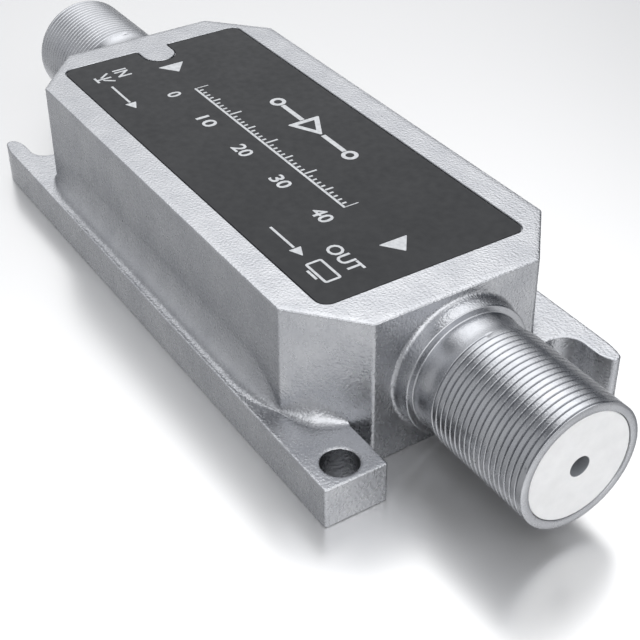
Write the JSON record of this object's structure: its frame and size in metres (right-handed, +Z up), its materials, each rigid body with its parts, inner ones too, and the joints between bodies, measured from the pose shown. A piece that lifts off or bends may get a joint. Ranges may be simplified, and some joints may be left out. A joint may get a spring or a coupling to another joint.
{
  "type": "in-line tv signal amplifier",
  "caption": "Die-cast in-line aerial signal amplifier with a threaded coaxial port at each end, a slotted mounting flange and a printed label.",
  "frame": {"origin": "centre of the mounting face, at the foot of the housing", "axes": "+X along the ports' axis from input to output, +Z up through the label face, +Y across the housing"},
  "size_m": [0.0734, 0.026, 0.0119],
  "materials": {
    "die_cast": "satin nickel plated zinc die casting, fine cast grain",
    "tinned_sheet": "tin plated steel sheet",
    "label_print": "dark grey printed film with light grey marks",
    "white_insulator": "white moulded plastic",
    "natural_insulator": "natural moulded plastic",
    "contact_metal": "turned spring bronze",
    "board_laminate": "green solder resist on glass laminate",
    "solder": "soft solder",
    "ceramic_chip": "ceramic chip with tinned ends",
    "resistor_body": "black glaze with tinned ends",
    "moulded_package": "black moulded package with tinned leads",
    "capacitor_body": "yellow moulded body with tinned ends",
    "ferrite": "dark grey sintered ferrite",
    "enamelled_wire": "copper wire with clear red enamel"
  },
  "bodies": {
    "root": {"housing": "die_cast", "bottom_cover": "tinned_sheet", "label_plate": "label_print", "input_front_insulator": "white_insulator", "output_front_insulator": "white_insulator", "input_rear_insulator": "natural_insulator", "output_rear_insulator": "natural_insulator", "input_contact": "contact_metal", "output_contact": "contact_metal", "circuit_board": "board_laminate", "ground_solder_joints": "solder", "contact_solder_joints": "solder", "input_signal_capacitor": "ceramic_chip", "interstage_capacitor": "ceramic_chip", "output_signal_capacitor": "ceramic_chip", "bypass_capacitors": "ceramic_chip", "bias_resistors": "resistor_body", "first_stage_chip": "moulded_package", "second_stage_chip": "moulded_package", "voltage_regulator": "moulded_package", "protection_diode": "moulded_package", "filter_capacitor": "capacitor_body", "input_choke_rod": "ferrite", "output_choke_rod": "ferrite", "input_choke_winding": "enamelled_wire", "output_choke_winding": "enamelled_wire", "first_feed_inductor": "ferrite", "second_feed_inductor": "ferrite"}
  },
  "joints": []
}
